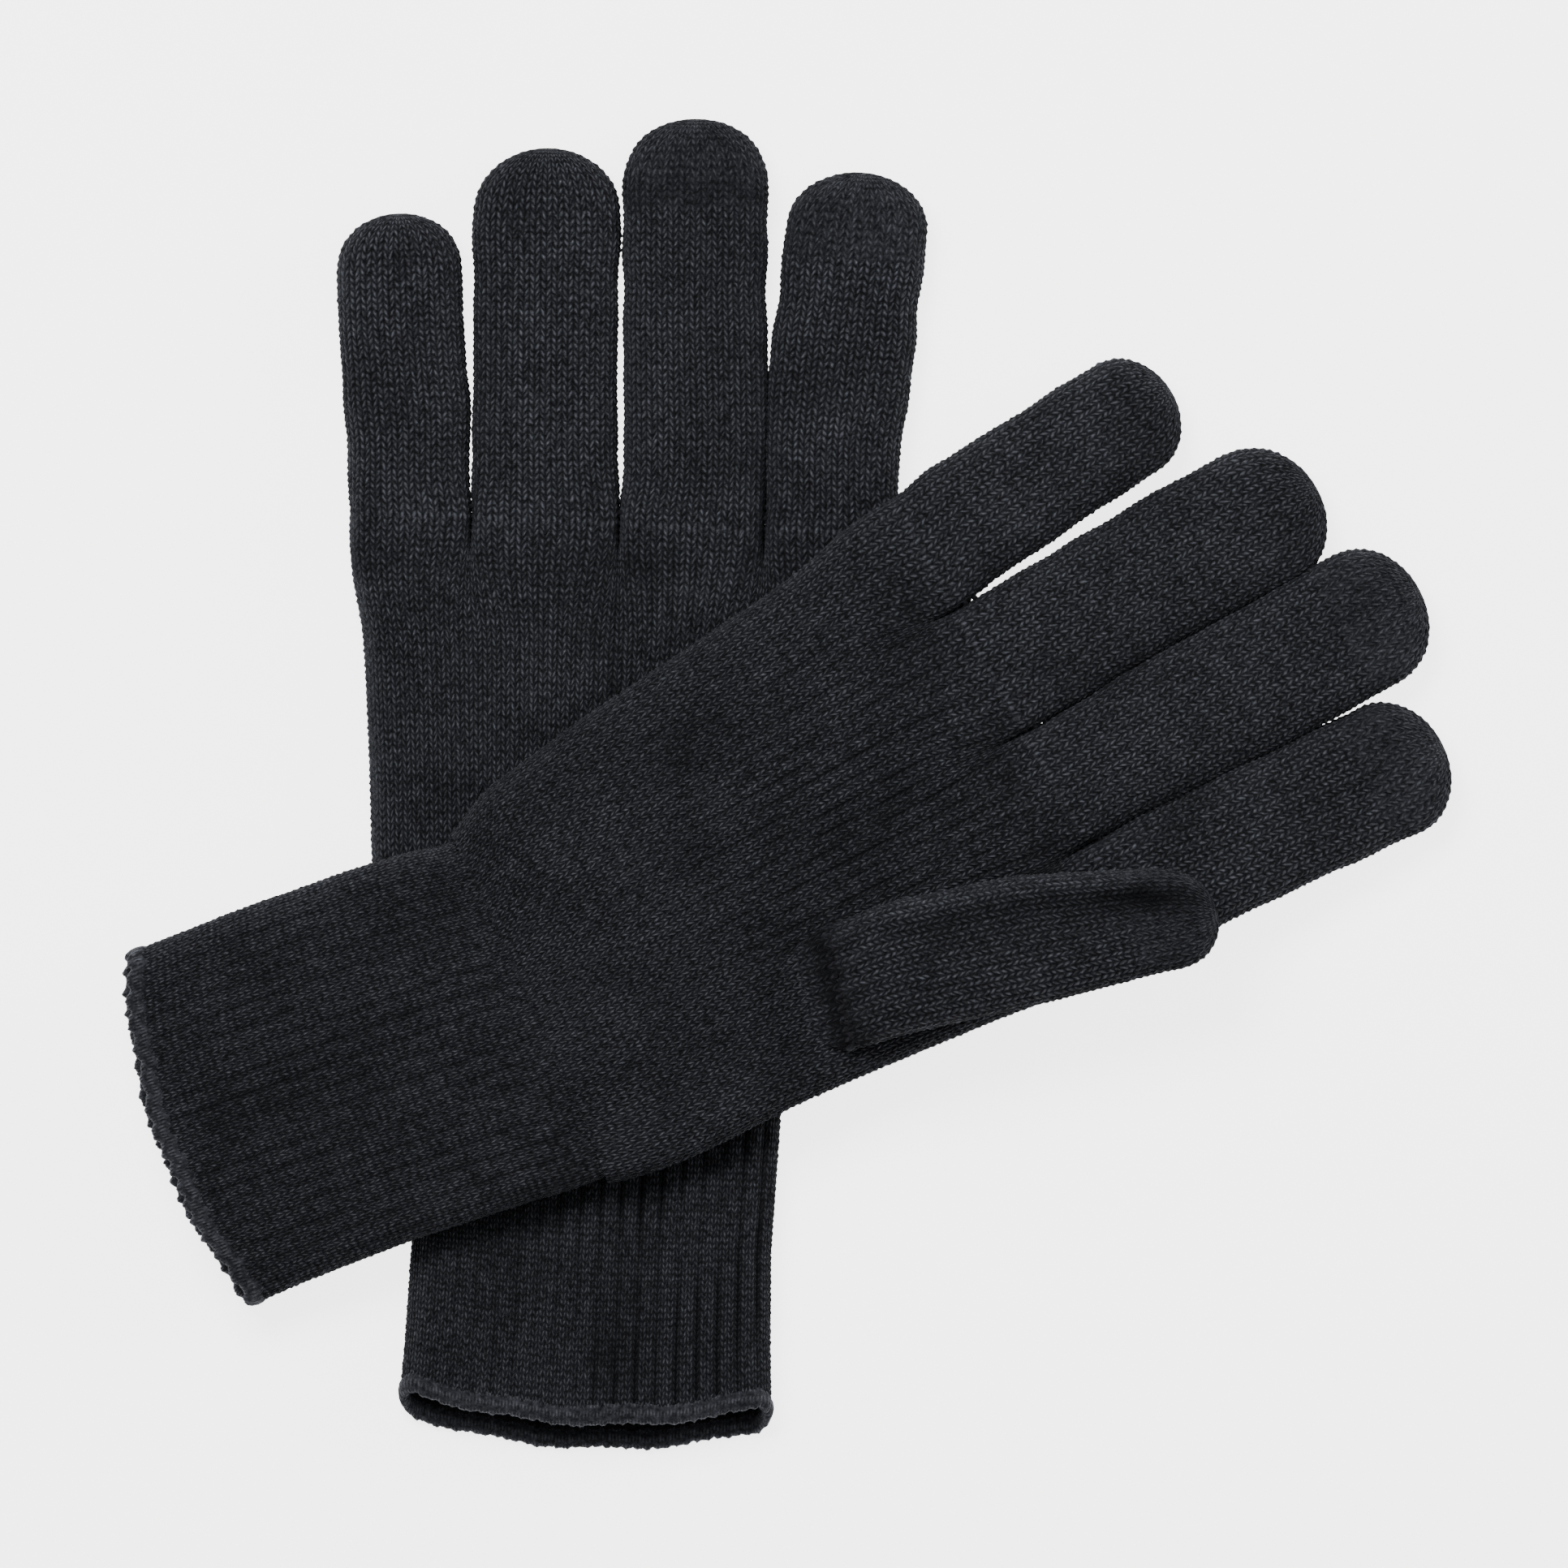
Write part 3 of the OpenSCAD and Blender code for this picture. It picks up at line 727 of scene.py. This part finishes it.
def cuff_rings(glove, d, inset):
    """Rings of the cuff at distances d from the wrist, set in by inset. They bow at the
    mouth, swing and drop as the glove says."""
    columns = sum(HAND_WALES) * WALE_COLUMNS
    d = np.asarray(d, float)
    half = np.interp(d, [0, 34, 55, CUFF_LENGTH], [33.2, 32.3, 32.9, 33.6]) - inset
    tall = np.interp(d, [0, 4, 50, CUFF_LENGTH], [3.9, 3.7, 3.7, 4.0]) - inset
    xs, zs = flat_oval(half, tall, columns)
    x, z = ring_of(xs, zs)
    bulge = np.sin(math.pi * np.clip(d / CUFF_LENGTH, 0, 1))[:, None]
    x = x - glove["cuff_bulge"] * np.clip(-x / CUFF_HALF, 0, 1) * bulge
    swing = np.radians(glove["swing"]) * (0.5 + 0.5 * ease(d / 12))[:, None]
    bow, ends, slant = glove["mouth"]
    near = ease((d - 15) / 50)[:, None]
    upper = (np.clip(z / 2.5, -1, 1) + 1)
    back = d[:, None] + near * (bow * (1 - (x / CUFF_HALF) ** 2) - ends - slant * upper / 2)
    px = x * np.cos(swing) + back * np.sin(swing)
    py = x * np.sin(swing) - back * np.cos(swing)
    drop = glove["drop"] * ease((d - 20) / 52) * 1.1
    return np.stack([px, py, HALF_THICK + z - drop[:, None]], axis=-1)


def cuff_piece(glove):
    """The ribbed cuff, with its outer and its inner face. Its rows run to the mouth, but
    its stitches are the hand's, so the relief is worked out from the mouth back."""
    length = CUFF_LENGTH - HEM_LENGTH / 2
    rows = round(length / COURSE) * COURSE_ROWS + 1
    d = np.linspace(0, length, rows)
    points = cuff_rings(glove, d, 0.0)
    columns = points.shape[1] - 1
    across = cuff_rings({**glove, "swing": 0}, [0], 0.0)[0][None, :, 0] / CUFF_HALF
    furrow = soft_waves(across * 52, d[:, None] * 0.22, glove["seed"] + 9, 0.75)
    from_side = points[..., 2] - points[:, :1, 2]
    flat = ease((np.abs(from_side) - 0.4) / 3)
    along = (ease(d / 10) * ease((length - d) / 12))[:, None]
    points[..., 2] += np.clip(furrow, -0.35, 0.5) * flat * along
    rib = (np.interp(across, *glove["rib"]) * ease(d / 5)[:, None])[::-1]
    stretched = soft_waves(across * 90, d[::-1, None], glove["seed"] + 8, 0.9)
    rib = rib * (1 + np.clip(stretched, -0.5, 0.4))
    wales = sum(HAND_WALES) * 2
    rise, slide = stitch_relief(columns, rows, wales, rib)
    from_side = points[..., 2] - points[:, :1, 2]
    # Painted shade in the rib grooves and the furrows and on the cuff's sides.
    painted_shade = (0.72 * rib_groove(columns, wales)[None, :] * rib[::-1]
            + 0.32 * np.clip(-furrow, 0, 1) * along + side_shade(from_side, 3.8))
    fade = ease(d / 3)[::-1][:, None]
    outside = knit_mesh(points[::-1], rise, slide, fade, glove["seed"] + 5)[::-1]
    inside = cuff_rings(glove, [length, length - 2, 45, 25, 8, 0], WALL)
    swing = math.radians(glove["swing"]) / 2
    tucked = tucked_row(outside[0], (-2 * math.sin(swing), 2 * math.cos(swing), 0), inset=0.5)[None]
    shell = np.concatenate([tucked, outside, inside, tucked])
    name = glove["name"]
    painted_shade = np.pad(painted_shade, ((1, len(inside) + 1), (0, 0)), mode="edge")
    # Painted shade over the whole inner face of the cuff.
    inside_shade = 0.5
    painted_shade[-len(inside):] = inside_shade
    piece = knitted_piece(name + "_cuff_rib", glove, shell, rib_knit, capped=False, painted_shade=painted_shade)
    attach(piece, name + "_hand")
    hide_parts(name + "_cuff")


cuff_piece(left_glove)

# ---- Left cuff hem ----
# The cuff's mouth is bound by an overlocked edge: a narrow roll of yarn wound round
# and round the last courses, slightly wavy where the ribs push it out.

DEEP_HEM = (0.0210, 0.0218, 0.0255)
PALE_HEM = (0.1080, 0.1120, 0.1310)
hem_knit = knitted_finish("hem_knit", DEEP_HEM, PALE_HEM, gap_shade=0.35, bump=1.0)


def wound_ring(name, glove, loop, ahead, radius_out, radius_along, turns, depth, finish, seed):
    """A roll of yarn wound round a loop of points in a number of turns, each standing out
    by depth of the roll's radius. The roll's section is an oval, radius_out across the
    loop and radius_along in the direction ahead."""
    columns = len(loop) - 1
    sides = 12
    following = np.roll(loop[:-1], -1, axis=0)
    before = np.roll(loop[:-1], 1, axis=0)
    along = following - before
    along = np.concatenate([along, along[:1]])
    along /= np.linalg.norm(along, axis=1, keepdims=True) + NEARLY_NONE
    lead = np.broadcast_to(np.asarray(ahead, float), loop.shape)
    outward = np.cross(lead, along)
    outward /= np.linalg.norm(outward, axis=1, keepdims=True) + NEARLY_NONE
    rng = np.random.default_rng(seed)
    lumps = rng.normal(0, 0.04, columns + 1)
    lumps[-1] = lumps[0]
    angle = np.linspace(0, 2 * math.pi, sides + 1)
    place = np.arange(columns + 1) / columns * 2 * math.pi * turns
    points = np.empty((sides + 1, columns + 1, 3))
    for k, a in enumerate(angle):
        swell = 1 + depth * np.cos(place + a) + lumps
        points[k] = (loop + outward * (radius_out * swell * math.cos(a))[:, None]
                     + lead * (radius_along * swell * math.sin(a))[:, None])
    return knitted_piece(name, glove, points, finish, capped=False)


def hem_piece(glove):
    """The overlocked roll at the cuff's mouth, with a scallop at each of its ribs."""
    hem_out, hem_along, turns, scallops = 1.0, 1.9, 76, 34
    loop = cuff_rings(glove, [CUFF_LENGTH - hem_along], WALL / 2)[0]
    round_mouth = np.arange(len(loop)) / (len(loop) - 1) * 2 * math.pi
    scallop = np.sin(round_mouth * scallops + 3 * np.sin(round_mouth * 3))
    loop[:, 1] += glove["scallop"] * scallop + 0.3 * np.sin(round_mouth * 7 + 1)
    swing = math.radians(glove["swing"])
    ahead = (math.sin(swing), -math.cos(swing), 0)
    name = glove["name"]
    piece = wound_ring(name + "_cuff_overlock", glove, loop, ahead, hem_out, hem_along,
                       turns, depth=0.07, finish=hem_knit, seed=glove["seed"] + 1)
    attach(piece, name + "_hand")
    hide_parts(name + "_cuff_hem")


hem_piece(left_glove)

# ---- Left cuff elastics ----
# Three fine elastic yarns laid in behind the rib, so that the cuff springs back
# after the hand has gone through. They run round the inside of the cuff.

DEEP_ELASTIC = (0.05, 0.05, 0.052)
PALE_ELASTIC = (0.10, 0.10, 0.104)
elastic_yarn = knitted_finish("elastic_yarn", DEEP_ELASTIC, PALE_ELASTIC, gap_shade=0.7,
                              bump=0.3, sheen=0.0)


def elastic_piece(glove):
    """Three elastic yarns round the inside of the cuff, evenly spaced from its hem."""
    spacing, radius, turns = 8, 0.35, 57
    swing = math.radians(glove["swing"])
    ahead = (math.sin(swing), -math.cos(swing), 0)
    name = glove["name"]
    for i in range(3):
        d = CUFF_LENGTH - HEM_LENGTH - spacing * (i + 0.5)
        loop = cuff_rings(glove, [d], WALL + 0.3)[0][::WALE_COLUMNS]
        piece = wound_ring(f"{name}_cuff_elastic_{i + 1}", glove, loop, ahead, radius, radius,
                           turns, depth=0.12, finish=elastic_yarn, seed=glove["seed"] + 40 + i)
        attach(piece, name + "_hand")
        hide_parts(name + "_cuff_elastic")


elastic_piece(left_glove)

# ---- Left finger darning ----
# Where two fingers part, the crotch is closed with five short darned stitches, so
# that it doesn't ladder. Each is a bent end of yarn from one finger to the next.

DEEP_STITCH = (0.004, 0.004, 0.005)
PALE_STITCH = (0.040, 0.040, 0.048)
stitch_yarn = knitted_finish("stitch_yarn", DEEP_STITCH, PALE_STITCH, gap_shade=0.4,
                             bump=0.5, sheen=0.03)


def darning(glove):
    """Five bent ends of yarn at each crotch: three on the crotch line, two beyond it."""
    yarn_radius, bend_radius = 0.5, 1.2
    stitches = ((-1.6, 0.6), (0.0, 0.6), (1.6, 0.6), (-1.0, 2.6), (1.0, 2.6))
    name = glove["name"]
    bm = bmesh.new()
    bm.loops.layers.uv.new("stitches")
    for edge_x in glove["edges"][1:4]:
        for lift, reach in stitches:
            ring = bmesh.ops.create_circle(bm, segments=8, radius=yarn_radius)["verts"]
            bmesh.ops.translate(bm, verts=ring, vec=(bend_radius, 0, 0))
            bmesh.ops.rotate(bm, verts=ring, matrix=Matrix.Rotation(math.pi / 2, 3, "X"))
            ring_edges = [edge for edge in bm.edges if edge.verts[0] in ring]
            bmesh.ops.spin(bm, geom=ring + ring_edges, cent=(0, 0, 0), axis=(0, 0, 1),
                           dvec=(0, 0, 0), angle=math.pi, steps=8, use_merge=False)
            arc = [vert for vert in bm.verts if not vert.tag]
            for vert in arc:
                vert.tag = True
            bmesh.ops.rotate(bm, verts=arc, matrix=Matrix.Rotation(0.2 * lift, 3, "Y"))
            place = (edge_x, glove["hand_len"] + reach, HALF_THICK + lift)
            bmesh.ops.translate(bm, verts=arc, vec=place)
    bmesh.ops.holes_fill(bm, edges=[e for e in bm.edges if e.is_boundary], sides=0)
    bmesh.ops.recalc_face_normals(bm, faces=bm.faces)
    for vert in bm.verts:
        vert.co = laid(glove, np.array(vert.co))
    mesh = bpy.data.meshes.new(name + "_finger_darning")
    bm.to_mesh(mesh)
    bm.free()
    mesh.shade_smooth()
    mesh.materials.append(stitch_yarn)
    piece = bpy.data.objects.new(name + "_finger_darning", mesh)
    scene.collection.objects.link(piece)
    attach(piece, name + "_hand")
    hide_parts(name + "_finger_seam")


darning(left_glove)

# ---- Left thumb ----
# A tube of 26 wales, knitted by itself and joined to a slanting slit in the palm with
# a course of tight stitches. It lies flat beside the hand, under the right glove.

THUMB_WALES = 13       # on each of its two faces


def thumb_points(thumb):
    """Rows of the thumb from inside the hand to its tip, in the glove's frame, their
    distances from its root and their painted shade."""
    tip = thumb["half"][1][-1]
    back, length = thumb["back"], thumb["length"]
    reach = length - tip
    arc = tip * TIP_ARC
    courses = round((back + reach + arc) / COURSE)
    s = np.linspace(-back, reach + arc, courses * COURSE_ROWS + 1)
    bend = np.clip((s - reach) / arc, 0, 1) * math.pi / 2
    d = np.where(s <= reach, s, reach + tip * np.sin(bend))
    half = np.interp(d, *thumb["half"])
    middle = np.interp(d, *thumb["middle"])
    level = np.interp(d, *thumb["level"])
    thick = np.interp(d, *thumb["thick"])
    for _ in range(24):
        for line in (half, middle, level, thick):
            line[1:-1] = (line[:-2] + 2 * line[1:-1] + line[2:]) / 4
    t = np.clip((d - reach) / tip, 0, 1)
    least = 0.02
    half = np.maximum(half * np.sqrt(np.clip(1 - t ** 2.1, 0, 1)), least)
    thick = np.maximum(thick * np.sqrt(np.clip(1 - t ** 3.2, 0, 1)), least)
    xs, zs = flat_oval(half, thick, THUMB_WALES * WALE_COLUMNS, corner=1.5, flat=2.2)
    x, z = ring_of(xs, zs)
    part = x / half[:, None]
    z = z + thumb["relief"](part, d[:, None], z / thick[:, None])
    x = x + middle[:, None]
    turn = math.radians(thumb["turn"])
    # Painted shade from the thumb's own shade function and on its sides.
    painted_shade = thumb["shade"](part, d[:, None], z) + side_shade(z, thick[:, None])
    dd = np.broadcast_to(d[:, None], x.shape)
    points = np.stack([
        thumb["root"][0] + x * math.cos(turn) - dd * math.sin(turn),
        thumb["root"][1] + x * math.sin(turn) + dd * math.cos(turn),
        level[:, None] + z,
    ], axis=-1)
    return points, d, painted_shade


def thumb_pieces(glove, thumb):
    """A thumb's tube, its cap, and the roll of stitches that joins it to the palm."""
    name = glove["name"]
    points, d, painted_shade = thumb_points(thumb)
    rows, columns = points.shape[0], points.shape[1] - 1
    rise, slide = stitch_relief(columns, rows, THUMB_WALES * 2)
    fade = np.clip((rows - 1 - np.arange(rows)) / 4, 0, 1)[:, None]
    skin = knit_mesh(points, rise, slide, fade, glove["seed"] + 60)
    last = int(np.argmin(np.abs(d - (thumb["length"] - TOUCH_LENGTH))))
    cap = np.concatenate([flattened(skin[last])[None], skin[last:], flattened(skin[-1])[None]])
    cap_painted_shade = np.pad(painted_shade[last:], ((1, 1), (0, 0)), mode="edge")
    cap_piece = knitted_piece(name + "_thumb_touch_cap", glove, cap, touch_knit, last - 1,
                              painted_shade=cap_painted_shade)
    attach(cap_piece, name + "_thumb")
    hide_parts(name + "_thumb_tip")
    tube = np.concatenate([flattened(skin[0])[None], skin[:last + 1],
                           flattened(skin[last])[None]])
    tube_painted_shade = np.pad(painted_shade[:last + 1], ((1, 1), (0, 0)), mode="edge")
    piece = knitted_piece(name + "_thumb_knit", glove, tube, charcoal_knit, -1, painted_shade=tube_painted_shade)
    turn = math.radians(thumb["turn"])
    ahead = np.array([-math.sin(turn), math.cos(turn), 0])
    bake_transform(piece)
    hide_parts(name + "_thumb")
    seam_out, seam_along, turns = 0.5, 0.8, 26
    seam_row = int(np.argmin(np.abs(d - thumb["seam"])))
    seam = wound_ring(name + "_thumb_join", glove, skin[seam_row], ahead, seam_out,
                      seam_along, turns, depth=0.3, finish=stitch_yarn,
                      seed=glove["seed"] + 70)
    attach(seam, name + "_hand")
    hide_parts(name + "_thumb_seam")


# Half widths, middles, levels and thicknesses are given at distances from the thumb's
# root: below zero the tube runs back into the hand, over "back" millimetres.
thumb_pieces(left_glove, {
    "root": (53, 23),
    "turn": -12.6,
    "length": 64.0,
    "back": 26,
    "seam": -11.5,
    "half": ([-26, -8, 0, 40, 60], [9.0, 10.6, 11.2, 11.3, 11.3]),
    "middle": ([-26, -18, -8, 0, 64], [-19, -9.5, -2.2, 0, 0]),
    "level": ([-26, 64], [3.6, 3.4]),
    "thick": ([-26, -10, 0, 64], [2.9, 3.0, 3.3, 3.3]),
    "relief": lambda part, d, side: 0 * part,
    "shade": lambda part, d, z: 0 * part,
})

# ---- Right hand ----
# The right glove is knitted like the left. It lies palm up across the left glove,
# its wales running in long straight lines over the palm.

right_glove = {
    "name": "right",
    "wrist": (-45.7, -40.5),
    "turn": -60.5,
    "lift": 8.9,
    "hand_len": 102.5,
    "low_edge": [34.6, 36.8, 38.6, 41.0, 42.3, 43.9, 47.9],
    "high_edge": [34.6, 36.6, 37.9, 38.8, 40.6, 43.3, 48.0],
    "dents": ((0, 98, 50, 5, 0.35), (-24, 96, 8, 5, 0.5), (1, 96, 6, 6, 0.6),
              (23, 96, 6, 6, 0.6), (8, 62, 12, 26, 0.5), (-22, 40, 14, 20, 0.35),
              (14, 40, 10, 9, 0.6)),
    "long_lines": (-2, 72, 34, 40, 0.22),
    "edges": (-47.9, -24.8, 0.6, 23.8, 48.0),
    "roots": (-37.4, -13.7, 12.0, 37.2),
    "fan": (2.3, -0.5, -2.4, -4.2),
    "widths": (22.6, 25.9, 25.6, 24.9),
    "lengths": (54.0, 68.0, 75.0, 65.0),
    "bend": (([0, 20, 34, 54], [0, -0.2, -0.6, -0.7]),
             ([0, 10, 42, 66], [1.4, 1.4, 0.6, 1.3]),
             ([0, 10, 42, 62, 74], [0, -0.2, -0.8, -1.6, -1.7]),
             ([0, 10, 20, 50, 64], [-1.6, -2.1, -2.3, -2.3, -2.0])),
    "droop": (11.9, 9.2, 8.2, 9.5),
    "mouth": (5.8, 1.0, 0.3),
    "rib": ([-1, 0, 1], [0.25, 0.5, 0.4]),
    "cuff_bulge": 2.1,
    "scallop": 0.42,
    "cap_band": (0, 0, 0, 0.1),
    "swing": -10.0,
    "drop": 5.0,
    "seed": 31,
}
hand_piece(right_glove, charcoal_knit)

# ---- Right fingers ----
# Four knitted tubes like the left ones, of the same yarn and with the same two caps.
# They droop over the left glove's edge until their tips lie on the table.

for finger, cap in enumerate(FINGER_CAPS):
    finger_pieces(right_glove, finger, cap)

# ---- Right cuff, hem, elastics and darning ----
# Made as on the left glove. The cuff slopes down to the table and swings a little at
# the wrist, and its mouth lies almost shut.

cuff_piece(right_glove)
hem_piece(right_glove)
elastic_piece(right_glove)
darning(right_glove)

# ---- Right thumb ----
# The same thumb, folded over at its root so that it lies along the palm. Its knit is
# gathered at the fold, one edge stands up as a ridge and the tip has sunk in.


def thumb_gathers(part, d):
    """Small folds side by side across the thumb, from -1 to 1."""
    return np.sin(part * 15 + 0.8 * np.sin(d * 0.5))


def thumb_lie(part, d, side):
    """How the folded thumb's upper face lies: a ridge along one edge, a bulge along the
    other and a hollow before the tip, with small gathers behind the fold. Part runs
    across the thumb from -1 to 1, d along it, and side is 1 on top and -1 below."""
    top = np.clip(side, 0, 1) ** 0.5
    body = ease((d - 1) / 8) * ease((62 - d) / 10)
    ridge = 0.55 * np.exp(-((part + 0.74) / 0.19) ** 2) * body
    bulge = 0.55 * np.exp(-((part - 0.30) / 0.32) ** 2)
    bulge = bulge * ease((d - 4) / 12) * ease((54 - d) / 14)
    hollow = -1.6 * np.exp(-((part + 0.34) / 0.32) ** 2) * np.exp(-((d - 52) / 10) ** 2)
    gathers = 0.5 * thumb_gathers(part, d) * np.exp(-((d + 2) / 5) ** 2)
    fold = -0.9 * np.exp(-((d + 5.5) / 2.2) ** 2)
    return (ridge + bulge + hollow + gathers + fold) * top


def thumb_shade(part, d, z):
    """Painted shade of the folded thumb: in the fold, its gathers, the hollow before the tip,
    a broad slack patch along the middle and the foot of the ridge."""
    fold = 0.62 * np.exp(-((d + 6.0 - 1.2 * part) / 2.8) ** 2)
    gathers = 0.35 * (0.5 + 0.5 * thumb_gathers(part, d)) * np.exp(-((d + 4) / 6) ** 2)
    hollow = 0.62 * np.exp(-((part + 0.36) / 0.36) ** 2) * np.exp(-((d - 54) / 9) ** 2)
    slack = 0.24 * np.exp(-((part + 0.2) / 0.38) ** 2)
    slack = slack * ease((d - 4) / 10) * ease((52 - d) / 12)
    foot = 0.35 * np.exp(-((part + 0.55) / 0.15) ** 2)
    foot = foot * ease((d - 2) / 8) * ease((58 - d) / 8)
    return (fold + gathers + hollow + slack + foot) * (z > 0)


thumb_pieces(right_glove, {
    "root": (26.6, 54.4),
    "turn": -17.6,
    "length": 65.0,
    "back": 24,
    "seam": -4.6,
    "half": ([-24, -6, -2, 6, 30, 52, 60], [9.0, 11.2, 11.5, 11.9, 11.85, 9.6, 8.8]),
    "middle": ([-24, -4, 6, 30, 52, 65], [0, -1.0, -2.4, -2.5, -1.4, 0]),
    "level": ([-24, -10, -4, 0, 65], [4.3, 4.7, 11.0, 12.3, 12.3]),
    "thick": ([-24, 0, 65], [3.3, 3.3, 3.3]),
    "relief": thumb_lie,
    "shade": thumb_shade,
})
